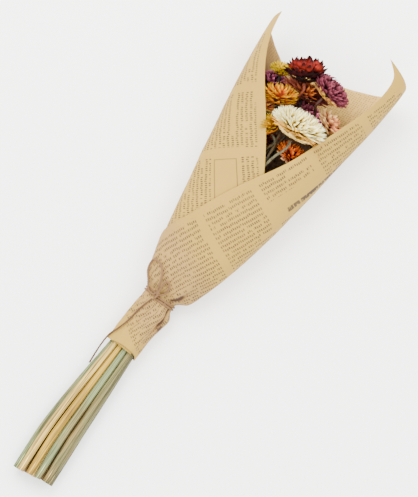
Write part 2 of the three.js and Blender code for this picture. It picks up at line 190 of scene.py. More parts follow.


# Layers of petals of each bloom, from its stem to its front: habit, how many, latitude of the
# first and last tips, and the screen values of foot, blade and tip. A darker foot is partly the
# petal's own colour and partly painted shade between the petals; a paler tip is partly its own
# colour and partly a painted highlight.
BLOOM_LAYERS = {
    "red": [
        ("ray", 60, -84, -26, (20, 10, 8), (37, 18, 14), (22, 10, 9)),
        ("bract", 18, -18, 6, (35, 11, 11), (53, 14, 16), (14, 5, 9)),
        ("cup", 12, 12, 38, (54, 11, 13), (131, 40, 28), (23, 5, 9)),
        ("cup", 14, 40, 74, (54, 10, 12), (128, 35, 27), (25, 6, 10))],
    "purple": [
        ("ray", 60, -70, -34, (61, 35, 28), (243, 191, 71), (131, 68, 60)),
        ("scale", 320, -34, 84, (15, 5, 7), (58, 17, 27), (115, 55, 68))],
    "maroon": [
        ("ray", 40, -66, -30, (66, 37, 31), (138, 73, 57), (108, 52, 44)),
        ("plume", 150, -28, 84, (120, 54, 42), (235, 106, 49), (243, 145, 33))],
    "lemon": [
        ("ray", 20, -66, -34, (125, 86, 27), (168, 117, 5), (186, 145, 5)),
        ("plume", 110, -30, 84, (163, 110, 5), (184, 145, 5), (193, 169, 5))],
    "plum": [
        ("ray", 30, -66, -30, (90, 46, 53), (145, 80, 75), (125, 67, 82)),
        ("scale", 120, -28, 84, (82, 32, 51), (126, 55, 79), (182, 102, 128))],
    "amber": [
        ("ray", 26, -62, -30, (139, 57, 30), (173, 93, 5), (180, 123, 5)),
        ("plume", 130, -26, 84, (159, 22, 14), (178, 81, 5), (193, 143, 5))],
    "salmon": [
        ("bract", 14, -50, -10, (243, 123, 101), (243, 183, 84), (243, 202, 98)),
        ("plume", 60, -20, 84, (243, 101, 94), (243, 152, 98), (243, 187, 78))],
    "magenta": [
        ("scale", 190, -50, 84, (48, 10, 18), (70, 20, 31), (112, 59, 70))],
    "white": [
        ("ray", 110, -80, -42, (237, 175, 88), (243, 213, 116), (243, 215, 133)),
        ("quill", 100, -44, -14, (163, 111, 64), (243, 208, 86), (243, 179, 84)),
        ("quill", 440, -14, 86, (152, 114, 57), (243, 223, 110), (243, 243, 190))],
    "yellow": [
        ("ray", 26, -64, -26, (170, 69, 5), (175, 96, 5), (181, 116, 5)),
        ("plume", 120, -22, 84, (172, 101, 5), (188, 130, 5), (196, 161, 5))],
    "pink": [
        ("bract", 14, -52, -6, (155, 91, 72), (243, 171, 105), (243, 195, 120)),
        ("loose", 44, -20, 80, (117, 70, 59), (184, 115, 83), (243, 163, 101))],
    "orange": [
        ("bract", 10, -60, -20, (177, 102, 87), (243, 169, 122), (243, 199, 140)),
        ("plume", 90, -30, 84, (104, 34, 24), (187, 69, 33), (243, 124, 18))],
    "brick": [
        ("plume", 90, -60, 84, (82, 29, 21), (126, 52, 36), (167, 77, 47))],
}
# Colours that petals take towards a side of a bloom, 1 being its left: blade and tip.
# The pink's paler side is painted light; the magenta's lilac side is partly its own colour
# and partly a painted highlight.
FLANKS = {
    "maroon": [
        (-1, tone(77, 28, 25), tone(94, 41, 37)),
        (1, tone(115, 51, 39), tone(147, 77, 57))],
    "magenta": [
        (-1, tone(163, 81, 102), tone(243, 128, 176))],
    "pink": [
        (1, tone(198, 136, 91), tone(243, 204, 130))],
}
# Screen values of the hearts.
HEART_TONES = {
    "red": (25, 9, 8), "purple": (65, 48, 33), "maroon": (43, 18, 14),
    "lemon": (107, 76, 11), "plum": (31, 10, 21), "amber": (104, 40, 20),
    "salmon": (77, 35, 25), "magenta": (28, 6, 13), "white": (116, 92, 52),
    "yellow": (124, 69, 5), "pink": (71, 45, 36), "orange": (55, 18, 12),
    "brick": (31, 10, 8),
}
# Lights: name, place, size and power. Camera: where it aims, its turn and its film's height.
LAMPS = [("window", (0.55, 0.75, 1.25), 0.9, 56.0), ("fill", (-0.7, -0.5, 1.2), 1.1, 15.4),
         ("mouth", (0.9, -0.35, 1.1), 0.8, 19.6)]
SKY_POWER = 3.08
CAMERA_AIM = (0.0127, -0.0068, 0.03)
CAMERA_TURN = -54
FILM_HEIGHT = 24

# Colours of stems where they show between the blooms: along the wrap, and close to a bloom,
# where their dark colour is painted shade among the blooms.
UPPER_TONES = {"white": tone(72, 68, 48), "yellow": tone(60, 56, 39)}
SHADED_STEM_TONES = {"red": tone(92, 44, 28), "purple": tone(50, 27, 20)}
# Colour of each stem; the dark one is painted shade for stems seen only in gaps.
STEM_TONES = {
    "red": "green", "purple": "dark", "maroon": "green", "lemon": "green", "plum": "straw",
    "amber": "cream", "salmon": "dark", "magenta": "green", "white": "olive",
    "yellow": "straw", "pink": "green", "orange": "olive", "brick": "cream",
}


def along(rows, x, column=1):
    """Smooth value at x from rows of (x, value, ...)."""
    last = len(rows) - 1
    if x <= rows[0][0]:
        return rows[0][column]
    if x >= rows[last][0]:
        return rows[last][column]
    i = next(k for k, row in enumerate(rows) if row[0] > x) - 1

    def slope(k):
        a, b = rows[max(k - 1, 0)], rows[min(k + 1, last)]
        return (b[column] - a[column]) / (b[0] - a[0])

    p, q = rows[i], rows[i + 1]
    span = q[0] - p[0]
    t = (x - p[0]) / span
    rise = q[column] - p[column]
    curve = (1 - t) * (slope(i) * span - rise) - t * (slope(i + 1) * span - rise)
    return p[column] + rise * t + t * (1 - t) * curve


def smooth(value, low, high):
    share = min(max((value - low) / (high - low), 0), 1)
    return share * share * (3 - 2 * share)


def wrap_point(x, angle, offset=0.0):
    """Point of the rolled sheet in millimetres, moved outward by offset."""
    turn = math.radians(angle)
    pleat = 0.6 * math.cos(7 * turn + 0.6) + 0.4 * math.cos(5 * turn - 1)
    spiral = LAYER_PITCH * (angle - LAYER_MIDDLE_ANGLE) / 360
    out = spiral + offset + along(PLEAT_DEPTH, x) * pleat
    y = along(WRAP_SECTIONS, x, 3) - (along(WRAP_SECTIONS, x, 1) + out) * math.sin(turn)
    half_height = along(WRAP_SECTIONS, x, 2)
    z = along(WRAP_SECTIONS, x, 4) + half_height - (half_height + out) * math.cos(turn)
    return Vector((x, y, z))


def gathered(x):
    """Share of the paper that the folds hide at x."""
    mean = math.hypot(along(WRAP_SECTIONS, x, 1), along(WRAP_SECTIONS, x, 2)) / math.sqrt(2)
    return max(0.0, 1 - mean / (CONE_SLOPE * (x - CONE_APEX)))


def fold_count(x, angle):
    """Knife pleats passed on the way round to an angle."""
    return angle / FOLD_PITCH + 0.35 * math.sin(x * 0.05) + 0.015 * x


def crease(x, angle):
    """How far knife pleats, crumples and the pinched folds move the paper outward."""
    turn = math.radians(angle)
    fold = fold_count(x, angle) % 1
    hidden = gathered(x) / MOST_GATHERED
    away = 1 - 0.7 * math.exp(-(((x - NECK_X) / 6) ** 2))
    drop = smooth(fold, 0.82, 1.0)
    pleat = 0.95 * hidden * away * (fold * 0.9 - 0.45 - 0.9 * drop)

    def rough(lengthwise, around):
        return noise.noise(Vector((
            x * lengthwise, around * math.cos(turn), around * math.sin(turn))))

    out = pleat + 0.5 * rough(0.035, 2.1) * away + 0.32 * rough(0.12, 7) * (0.3 + min(hidden, 1))
    for fold_x, fold_angle, depth, length, width in PINCHED_FOLDS:
        side = (angle - fold_angle + 180) % 360 - 180
        out -= depth * math.exp(-((x - fold_x) / length) ** 2 - (side / width) ** 2)
    return out


def printed_place(x, angle):
    """Place on the flat sheet, in millimetres, of a point of the rolled one."""
    fold = fold_count(x, angle)
    stepped = math.floor(fold) + smooth(fold % 1, 0.86, 1.0) - fold + 0.5
    turn = math.radians(angle + gathered(x) * stepped * FOLD_PITCH)
    spread = CONE_SLOPE * (turn + 0.125 * math.sin(2 * turn))
    spread += 0.035 - 0.315 * (1 - smooth(angle, -80, 80))
    reach = (x - CONE_APEX) / 0.99
    return reach * math.cos(spread), reach * math.sin(spread)


def sheet_angle(x, across):
    left, right = along(LEFT_EDGE, x), along(RIGHT_EDGE, x)
    return left + (right - left) * across


def rim_x(across):
    x = 190.0
    for _ in range(40):
        x = 0.5 * x + 0.5 * along(RIM, sheet_angle(x, across))
    return x


def over_paper(x, y, lift):
    """Point above the paper's upper face."""
    share = (along(WRAP_SECTIONS, x, 3) - y) / (along(WRAP_SECTIONS, x, 1) + 0.6)
    angle = 180 - math.degrees(math.asin(min(max(share, -0.97), 0.97)))
    return Vector((x, y, wrap_point(x, angle).z + lift))


def spline(points, steps=CURVE_STEPS):
    """Centripetal Catmull-Rom curve through the points, with steps in each span."""
    line = [2 * points[0] - points[1], *points, 2 * points[-1] - points[-2]]
    route = []
    for i in range(1, len(line) - 2):
        near = line[i - 1:i + 3]
        knots = [0.0]
        for a, b in zip(near, near[1:]):
            knots.append(knots[-1] + max((b - a).length, 1e-6) ** 0.5)
        for step in range(steps):
            t = knots[1] + (knots[2] - knots[1]) * step / steps

            def between(a, b, low, high):
                span = high - low
                return a * ((high - t) / span) + b * ((t - low) / span)

            level = near
            for width in (1, 2):
                level = [between(*pair) for pair in zip(level, level[1:], knots, knots[width:])]
            route.append(between(*level, *knots[1:3]))
    route.append(points[-1].copy())
    return route


def even(route, gap):
    """The same route with points a fixed gap apart."""
    lengths = [0.0]
    for a, b in zip(route, route[1:]):
        lengths.append(lengths[-1] + (b - a).length)
    count = max(2, round(lengths[-1] / gap))
    result = []
    k = 0
    for step in range(count + 1):
        goal = lengths[-1] * step / count
        while k < len(route) - 2 and lengths[k + 1] < goal:
            k += 1
        span = max(lengths[k + 1] - lengths[k], 1e-9)
        result.append(route[k].lerp(route[k + 1], min((goal - lengths[k]) / span, 1)))
    return result


def carried_frames(route):
    """Two cross directions at each point of a route, carried along without twist."""
    frames = []
    normal = Vector((0, 0, 1))
    for k in range(len(route)):
        tangent = (route[min(k + 1, len(route) - 1)] - route[max(k - 1, 0)]).normalized()
        if abs(tangent.dot(normal)) > 0.95:
            normal = Vector((1, 0, 0))
        normal = (normal - tangent * normal.dot(tangent)).normalized()
        frames.append((normal, tangent.cross(normal)))
    return frames


def beside(centre, cross, turn, reach):
    """Point at a distance from a centre, in the plane of its two cross directions."""
    normal, side = cross
    return centre + (normal * math.cos(turn) + side * math.sin(turn)) * reach


def sweep(mesh, route, radius_at, sides=STRAND_SIDES, lobe=0.0, lobes=0):
    """Adds a closed tube along the route, with its section lobed if asked."""
    frames = carried_frames(route)
    start = len(mesh.verts)

    def ring_places(k):
        radius = radius_at(k / (len(route) - 1))
        turns = [math.tau * i / sides for i in range(sides)]
        return [beside(route[k], frames[k], turn, radius * (1 + lobe * math.cos(lobes * turn)))
                for turn in turns]

    ring = bmesh.ops.create_circle(mesh, segments=sides, radius=1, cap_ends=True)["verts"]
    for vert, place in zip(ring, ring_places(0)):
        vert.co = place
    edges = list(dict.fromkeys(edge for vert in ring for edge in vert.link_edges))
    for k in range(1, len(route)):
        grown = bmesh.ops.extrude_edge_only(mesh, edges=edges)["geom"]
        fresh = [item for item in grown if isinstance(item, bmesh.types.BMVert)]
        fresh_set = set(fresh)
        follow = {}
        for vert in fresh:
            for edge in vert.link_edges:
                other = edge.other_vert(vert)
                if other not in fresh_set:
                    follow[other] = vert
        ring = [follow[vert] for vert in ring]
        for vert, place in zip(ring, ring_places(k)):
            vert.co = place
        edges = [item for item in grown if isinstance(item, bmesh.types.BMEdge)
                 and item.verts[0] in fresh_set and item.verts[1] in fresh_set]
    bmesh.ops.contextual_create(mesh, geom=edges)
    mesh.verts.ensure_lookup_table()
    return [mesh.verts[i] for i in range(start, len(mesh.verts))]


def to_metres(mesh):
    """Ends the making of a mesh that was built in millimetres."""
    bmesh.ops.scale(mesh, vec=(MM, MM, MM), verts=mesh.verts)
    bmesh.ops.recalc_face_normals(mesh, faces=mesh.faces)


def placed(name, data):
    """Links a new object with this data into the scene."""
    made = bpy.data.objects.new(name, data)
    bpy.context.scene.collection.objects.link(made)
    return made


def object_from(mesh, name, materials):
    """Makes a bmesh in metres an object of the scene."""
    data = bpy.data.meshes.new(name)
    mesh.to_mesh(data)
    mesh.free()
    for face in data.polygons:
        face.use_smooth = True
    for material in materials:
        data.materials.append(material)
    return placed(name, data)


def piece_from(mesh, name, materials):
    piece = object_from(mesh, name, materials)
    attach(piece, "root")
    return piece


class Shading:
    """Short way to lay out one material's nodes."""

    def __init__(self, name):
        self.material = bpy.data.materials.new(name)
        self.material.use_nodes = True
        self.tree = self.material.node_tree
        self.surface = self.tree.nodes["Principled BSDF"]

    def feed(self, socket, value):
        if isinstance(value, bpy.types.NodeSocket):
            self.tree.links.new(value, socket)
        else:
            socket.default_value = value

    def node(self, kind, inputs=(), **values):
        """Adds a node with its settings and inputs, by name or number; gives its outputs."""
        made = self.tree.nodes.new("ShaderNode" + kind)
        for key, value in values.items():
            setattr(made, key, value)
        for key, value in inputs:
            self.feed(made.inputs[key], value)
        return made.outputs

    def math(self, operation, *values):
        return self.node("Math", enumerate(values), operation=operation)[0]

    def times(self, first, *others):
        for other in others:
            first = self.math("MULTIPLY", first, other)
        return first

    def attribute(self, name, part="Fac"):
        return self.node("Attribute", attribute_name=name)[part]

    def mix(self, share, first, second, blend="MIX"):
        inputs = zip((0, 6, 7), (share, first, second))
        return self.node("Mix", inputs, data_type="RGBA", blend_type=blend)[2]

    def noise(self, vector, scale, detail=2.0, roughness=0.5):
        inputs = {"Vector": vector, "Scale": scale, "Detail": detail, "Roughness": roughness}
        return self.node("TexNoise", inputs.items())["Fac"]

    def vector(self, *parts):
        return self.node("CombineXYZ", enumerate(parts))[0]

    def streaks(self, first, second, third=0.0, detail=1.0, roughness=0.5):
        """Noise over two values, each given with its frequency, and a third one."""
        place = self.vector(self.times(*first), self.times(*second), third)
        return self.noise(place, 1.0, detail, roughness)

    def chance(self, first, second):
        place = self.vector(first, second, 0.0)
        return self.node("TexWhiteNoise", [("Vector", place)], noise_dimensions="2D")["Value"]

    def object_place(self, scale=(1, 1, 1)):
        place = self.node("TexCoord")["Object"]
        return self.node("Mapping", [("Vector", place), ("Scale", scale)])["Vector"]

    def band(self, value, low, high, soft):
        """1 between low and high, with soft ends."""
        ends = []
        for edge, before, after in ((low, 0, 1), (high, 1, 0)):
            numbers = (value, edge - soft, edge + soft, before, after)
            ends.append(self.node("MapRange", enumerate(numbers))[0])
        return self.times(*ends)

    def finish(self, colour, roughness, specular, height, strength, distance):
        """Sets the surface, with a bump of the given height, and gives the material."""
        bump = self.node("Bump", [("Height", height), ("Strength", strength),
                                  ("Distance", distance)])["Normal"]
        for key, value in (("Base Color", colour), ("Roughness", roughness),
                           ("Specular IOR Level", specular), ("Normal", bump)):
            self.feed(self.surface.inputs[key], value)
        return self.material


def newsprint_material(name, sheet_tone, ink_tone, ink_strength, settings, deep=None):
    """Kraft newsprint: unreadable columns of greeked marks on fibrous tan paper."""
    shading = Shading(name)
    maths, times, band, streaks = shading.math, shading.times, shading.band, shading.streaks
    place = shading.node("UVMap", uv_map="sheet")[0]
    parts = shading.node("SeparateXYZ", [(0, place)])
    lengthwise, across = times(parts[0], 1000), times(parts[1], 1000)
    pitch = settings.line_pitch * 1000

    def box(low_x, high_x, low_y, high_y, soft=0.3):
        return times(band(lengthwise, low_x, high_x, soft), band(across, low_y, high_y, soft))

    row = maths("DIVIDE", across, pitch)
    row_index = maths("FLOOR", row)
    letter = maths("DIVIDE", lengthwise, LETTER_WIDTH)
    tall = maths("MULTIPLY_ADD", shading.chance(maths("FLOOR", letter), row_index), 0.24, -0.12)
    height = band(maths("ADD", maths("FRACT", row), tall), 0.24, 0.76, 0.05)
    body = band(maths("FRACT", letter), 0.20, 0.80, 0.06)
    word = streaks((lengthwise, 0.34), (row_index, 7.31), detail=0.0)
    glyph = streaks((lengthwise, 1.9), (across, 1.1), 3.0)
    left = maths("LESS_THAN", across, 0.0)
    start = maths("MULTIPLY_ADD", left, COLUMN_SHIFT, COLUMN_START)
    column = maths("DIVIDE", maths("SUBTRACT", lengthwise, start), COLUMN_PITCH)
    ragged = shading.chance(row_index, maths("FLOOR", column))
    end = maths("MINIMUM", maths("MULTIPLY_ADD", ragged, 8.0, 0.2), 0.93)
    in_column = maths("FRACT", column)
    within = times(maths("GREATER_THAN", in_column, 0.06), maths("LESS_THAN", in_column, end))
    within = maths("MAXIMUM", within, maths("LESS_THAN", lengthwise, NECK_PRINT_END))
    small = times(height, band(word, 0.36, 2.0, 0.02), body, band(glyph, 0.37, 2.0, 0.05), within)

    big_row = maths("DIVIDE", maths("SUBTRACT", across, HEADING_FOOT), pitch * HEADING_SCALE)
    big_word = streaks((lengthwise, 0.13), (maths("FLOOR", big_row), 5.7), 9.0, 0.0)
    big_glyph = streaks((lengthwise, 0.55), (across, 0.16), 5.0)
    big = times(band(maths("FRACT", big_row), 0.18, 0.80, 0.04),
                band(big_word, 0.27, 2.0, 0.02), band(big_glyph, 0.41, 2.0, 0.05))

    clearing = 0.0
    for sides in CLEAR_BOXES:
        clearing = maths("MAXIMUM", box(*sides), clearing)
    outer, inner = (box(*sides) for sides in RULE_BOXES)
    rules = maths("SUBTRACT", outer, inner)
    ink = maths("ADD", times(small, maths("SUBTRACT", 1.0, clearing)),
                times(big, box(*HEADING_BOX)))
    wear = maths("MULTIPLY_ADD", shading.noise(place, 60.0), 0.6, 0.7)
    ink = times(ink, box(*PRINTED_BOX, 0.6), ink_strength, wear)
    ink = maths("MAXIMUM", ink, times(rules, 0.75))

    fibre = streaks((lengthwise, 0.9), (across, 3.2), 0.0, 4.0, 0.7)
    base = shading.mix(
        shading.noise(place, 14.0, 3.0), scaled(sheet_tone, 0.80), scaled(sheet_tone, 1.10))
    base = shading.mix(times(fibre, 0.22), base, tone(129, 96, 59))
    # Painted shade of the gathered folds at the neck, 118 to 186 mm along the sheet.
    neck = times(band(lengthwise, 118, 186, 9.0), 0.42)
    base = shading.mix(neck, base, tone(126, 94, 66))
    base = shading.mix(ink, base, ink_tone)
    # Painted shade in the pockets of the neck, a dark brown.
    pocket = band(shading.attribute("pocket"), 0.40, 9.0, 0.3)
    base = shading.mix(pocket, base, tone(58, 36, 20))
    # Painted shade deep inside the cone: the inner face darkens short of the rim.
    if deep:
        base = shading.mix(band(lengthwise, -100, 352, 16.0), base, deep)
    return shading.finish(base, 0.78, 0.28, fibre, 0.25, 0.0003)


def petal_material(name):
    """Dry papery petals: colours with painted shade and highlights, darker veins along them."""
    shading = Shading(name)
    colour = shading.attribute("colour", "Color")
    vein = shading.streaks(
        (shading.attribute("across"), 4.0), (shading.attribute("reach"), 1.2),
        shading.times(shading.attribute("shade"), 31.0), 3.0, 0.65)
    dark = shading.mix(1.0, colour, (0.56, 0.46, 0.40, 1.0), "MULTIPLY")
    colour = shading.mix(shading.band(vein, 0.54, 2.0, 0.14), colour, dark)
    return shading.finish(colour, 0.55, 0.03, vein, 0.5, 0.0003)


def heart_material(name, colour):
    """Bristly centre and foot of a bloom."""
    shading = Shading(name)
    speck = shading.noise(shading.object_place(), 900.0)
    base = shading.mix(speck, scaled(colour, 0.45), colour)
    return shading.finish(base, 0.85, 0.02, speck, 0.8, 0.0006)


def straw_material(name, colour, upper, deep):
    """Dry ribbed stem: pale streaks along it, blotches, a wrap colour and painted shade."""
    shading = Shading(name)
    band, maths = shading.band, shading.math
    streak = shading.noise(shading.object_place((14, 1000, 1000)), 1.0, 2.0, 0.6)
    blotch = shading.noise(shading.object_place((34, 90, 90)), 1.0, 2.0)
    along_stem = shading.node("SeparateXYZ", [(0, shading.object_place())])[0]
    body = shading.mix(band(along_stem, -0.04, 9.0, 0.02), colour, upper)
    body = shading.mix(band(blotch, 0.56, 2.0, 0.1), body,
                       shading.mix(0.45, body, tone(106, 78, 36)))
    # Painted shade: close to the blooms the stems turn dark.
    body = shading.mix(band(along_stem, 0.124, 9.0, 0.008), body, deep)
    streaks = maths("MULTIPLY_ADD", band(streak, 0.44, 2.0, 0.14), 1.20, 0.35)
    # Painted shade: each stem darkens on its lower side, by the rise of its corners.
    underside_shade = maths("MULTIPLY_ADD", band(shading.attribute("rise"), 0.3, 9.0, 0.32), 0.88, 0.12)
    # Painted shade in the grooves between the ribs, and a little painted light on their crests.
    ribs = maths("MULTIPLY_ADD", shading.attribute("rib"), 0.17, 0.88)
    streaks = shading.times(streaks, underside_shade, ribs)
    base = shading.mix(1.0, body, shading.vector(streaks, streaks, streaks), "MULTIPLY")
    return shading.finish(base, 0.55, 0.15, streak, 0.6, 0.0005)


def jute_material(name, colour):
    """Hairy plied jute with pale and dark fibres along each strand."""
    shading = Shading(name)
    fibre = shading.streaks(
        (shading.attribute("run"), 2.2), (shading.attribute("around"), 7.0), 0.0, 3.0, 0.7)
    patch = shading.noise(shading.object_place(), 130.0)
    base = shading.mix(fibre, scaled(colour, 0.42), scaled(colour, 1.55))
    base = shading.mix(shading.times(patch, 0.35), base, tone(94, 69, 62))
    return shading.finish(base, 0.9, 0.1, fibre, 0.8, 0.0003)


def pocket_shade_share(x, angle):
    """How deep in the painted shade of a pocket of the neck a place of the paper is."""
    return max(math.exp(-((x - spot) / length) ** 2 - ((angle - turn) / width) ** 2)
               for spot, turn, length, width in POCKET_SHADES)


def place_sheet(mesh, rows, columns):
    """Shapes a flat grid into the rolled sheet and lays its sheet coordinates on it."""
    fixed = rows // 2
    rims = [rim_x(k / columns) for k in range(columns + 1)]
    sheet = mesh.loops.layers.uv.new("sheet")
    pocket = mesh.verts.layers.float.new("pocket")
    spots = {}
    for vert in mesh.verts:
        row = round((vert.co.x + 1) / 2 * rows)
        column = round((vert.co.y + 1) / 2 * columns)
        across = column / columns
        if row <= fixed:
            start = along(SKIRT_END, sheet_angle(-94, across))
            x = start + (UPPER_ROWS_FROM - start) * row / fixed
        else:
            x = UPPER_ROWS_FROM + (rims[column] - UPPER_ROWS_FROM) * (row - fixed) / (rows - fixed)
        angle = sheet_angle(x, across)
        edge = min(across, 1 - across)
        ripple = 1.1 * math.exp(-edge * 30) * math.sin(x * 0.07 + 4 * across)
        angle += ripple * smooth(x, 40, 110) * (1 if across > 0.5 else -1)
        point = wrap_point(x, angle, crease(x, angle))
        point.z = max(point.z, LOWEST_PAPER)
        spots[vert] = (x, across)
        # Share of painted pocket shade at this place of the paper.
        vert[pocket] = pocket_shade_share(x, angle)
        vert.co = point * MM
    for face in mesh.faces:
        for loop in face.loops:
            x, across = spots[loop.vert]
            loop[sheet].uv = [part * MM for part in printed_place(x, sheet_angle(x, across))]


def on_dome(radius, depth, latitude, turn, scale):
    """Point of a bloom's rounded form in its own axes, its facing direction being z."""
    reach = radius * math.cos(latitude) * scale
    return Vector((reach * math.cos(turn), reach * math.sin(turn),
                   depth * math.sin(latitude) * scale))


def petal_layers(mesh):
    """Attributes of the petals' corners: place along and across, chance shade and colour."""
    layers = mesh.verts.layers
    return [layers.float.new(key) for key in ("reach", "across", "shade")], \
        layers.float_color.new("colour")


def shape_petal(mesh, layers, middle, outward_at, blade, tones, shade):
    """Adds one petal along its middle line, its edges cupped and its tip pointed."""
    width, point, cup = blade
    foot, body, tip = tones
    values, colour = layers
    light = DARKEST_PETAL + PETAL_CONTRAST * shade
    grid = bmesh.ops.create_grid(mesh, x_segments=4, y_segments=6, size=1)["verts"]
    for vert in grid:
        side, reach = vert.co.x, (vert.co.y + 1) / 2
        centre = middle(reach)
        tangent = (middle(reach + 0.02) - middle(max(reach - 0.02, 0))).normalized()
        cross = tangent.cross(outward_at(centre)).normalized()
        outward = cross.cross(tangent).normalized()
        half = width * 0.5 * (0.40 + 0.60 * smooth(reach, 0.0, 0.5))
        half *= 1 - point * smooth(reach, 0.50, 1.0) ** 1.25
        lift = -cup * half * side * side + 0.3 * half * side * (shade - 0.5)
        vert.co = centre + cross * (half * side) + outward * lift
        for layer, value in zip(values, (reach, side, shade)):
            vert[layer] = value
        # A darker foot is partly painted shade; a paler tip is partly a painted highlight.
        base, end = 1 - smooth(reach, 0.15, 0.55), smooth(reach, 0.50, 0.92)
        mixed = [(f * base + b * (1 - base)) * (1 - end) + t * end
                 for f, b, t in zip(foot, body, tip)]
        vert[colour] = scaled(mixed, light)


def sided(name, tones, turn):
    """Tones of a petal once the colour of the bloom's side, in places painted light, is mixed in.
    """
    foot, blade, tip = tones
    for side, side_blade, side_tip in FLANKS.get(name, ()):
        share = smooth(side * math.cos(turn), -0.3, 0.5)
        blade = [a + (b - a) * share for a, b in zip(blade, side_blade)]
        tip = [a + (b - a) * share for a, b in zip(tip, side_tip)]
    return foot, blade, tip


def build_bloom(name, fullness):
    """One bloom: petals in a spiral, laid over one another from its stem to its front."""
    place, heading, pitch, radius, depth = BLOOMS[name]
    chance = random.Random(sum(ord(letter) * 7 for letter in name))
    mesh = bmesh.new()
    layers = petal_layers(mesh)
    spiral = 0

    def outward_at(spot):
        return Vector((spot.x / radius, spot.y / radius, spot.z / depth)).normalized()

    for habit, count, first, last, *tones in BLOOM_LAYERS[name]:
        tones = [tone(*shade) for shade in tones]
        arc, foot, reach, width, point, cup, curl = HABITS[habit]
        low, high = math.sin(math.radians(first)), math.sin(math.radians(last))
        for i in range(count):
            spiral += 1
            height = low + (high - low) * (i + 0.5) / count
            tip = math.degrees(math.asin(height)) + chance.uniform(-6, 6)
            turn = spiral * GOLDEN_TURN + chance.uniform(-0.2, 0.2)
            shade = chance.random()
            spread = arc * chance.uniform(0.85, 1.15)
            far = reach * fullness * FULLNESS.get(name, 1) * chance.uniform(0.94, 1.03)

            def middle(share):
                scale = foot + (far - foot) * share ** 1.3 + curl * share ** 4
                latitude = min(max(tip - spread * (1 - share), -89), 93)
                return on_dome(radius, depth, math.radians(latitude),
                               turn + (shade - 0.5) * PETAL_TWIST * share, scale)

            girth = width * (1 - 0.25 * max(height, 0)) * chance.uniform(0.85, 1.15)
            shape_petal(mesh, layers, middle, outward_at, (girth, point, cup),
                        sided(name, tones, turn), shade)
    return mesh, layers, Vector(place), heading, pitch, radius, depth


def spill_petals(mesh, layers):
    """Petals of the yellow bloom that bend over the edge of the left flap."""
    chance = random.Random(31)
    # Painted shade: the yellow's colours at half strength, against the flap's full light.
    tones = [scaled(tone(*shade), 0.5) for shade in BLOOM_LAYERS["yellow"][-1][4:]]
    for i in range(SPILL_PETALS):
        share = (i % 5) / 4 + chance.uniform(-0.06, 0.06)
        start = Vector((127.0 - 6.0 * share, 9.2 - 0.7 * share, 52))
        reach = chance.uniform(0.75, 1.1) * (1 - 0.7 * abs(share - 0.5))
        edge = over_paper(start.x - 3.0, start.y + 6.2, 0.7)
        end = over_paper(start.x - 1.2 - 3.6 * share - 3.2 * reach,
                         start.y + 6.2 + 4.6 * reach, 0.7)

        def middle(part):
            first, second = start.lerp(edge, part), edge.lerp(end, part)
            return first.lerp(second, part) + Vector((0, 0, 3.0 * part * (1 - part)))

        shape_petal(mesh, layers, middle, lambda spot: Vector((0, 0, 1)), (1.8, 0.92, 0.6),
                    tones, chance.random())


def facing_turn(heading, pitch):
    """Rotation that takes +Z to the bloom's facing direction."""
    heading, pitch = math.radians(heading), math.radians(pitch)
    axis = Vector((math.cos(heading) * math.cos(pitch), math.sin(heading) * math.cos(pitch),
                   math.sin(pitch)))
    return axis.to_track_quat("Z", "Y").to_matrix().to_4x4()


def centre_line(node, sides=6):
    """Middle points and radii of a packed stem, from its rings of corners."""
    copy = bmesh.new()
    copy.from_mesh(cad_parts[node].data)
    bmesh.ops.remove_doubles(copy, verts=copy.verts, dist=1e-6)
    corners = sorted((vert.co.copy() for vert in copy.verts), key=lambda place: place.x)
    copy.free()
    corners = corners[1:-1] if len(corners) % sides == 2 else corners
    middles, radii = [], []
    for k in range(0, len(corners) - sides + 1, sides):
        ring = corners[k:k + sides]
        middle = sum(ring, Vector()) / sides
        middles.append(middle)
        radii.append(sum((place - middle).length for place in ring) / sides)
    return middles, radii


class BouquetPaper(bpy.types.PropertyGroup):
    thickness: bpy.props.FloatProperty(
        name="Thickness", description="Thickness of the paper", default=0.00025, unit="LENGTH")
    line_pitch: bpy.props.FloatProperty(
        name="Line pitch", description="Distance between printed lines", default=0.0041,
        unit="LENGTH")
    outside: bpy.props.FloatVectorProperty(
        name="Outside", description="Colour of the outer face", subtype="COLOR", size=4,
        default=tone(153, 123, 43))
    # Paler than the outer face: painted light on the inner rim, which lies in the cone's shade.
    inside: bpy.props.FloatVectorProperty(
        name="Inside", description="Colour of the inner face", subtype="COLOR", size=4,
        default=tone(184, 149, 76))
    ink: bpy.props.FloatVectorProperty(
        name="Ink", description="Colour of the printed marks", subtype="COLOR", size=4,
        default=tone(54, 40, 26))


class BouquetBlooms(bpy.types.PropertyGroup):
    fullness: bpy.props.FloatProperty(
        name="Fullness", description="Reach of the petals against the packed bloom", default=1.0)
    petal_thickness: bpy.props.FloatProperty(
        name="Petal thickness", description="Thickness of a dry petal", default=0.00016,
        unit="LENGTH")


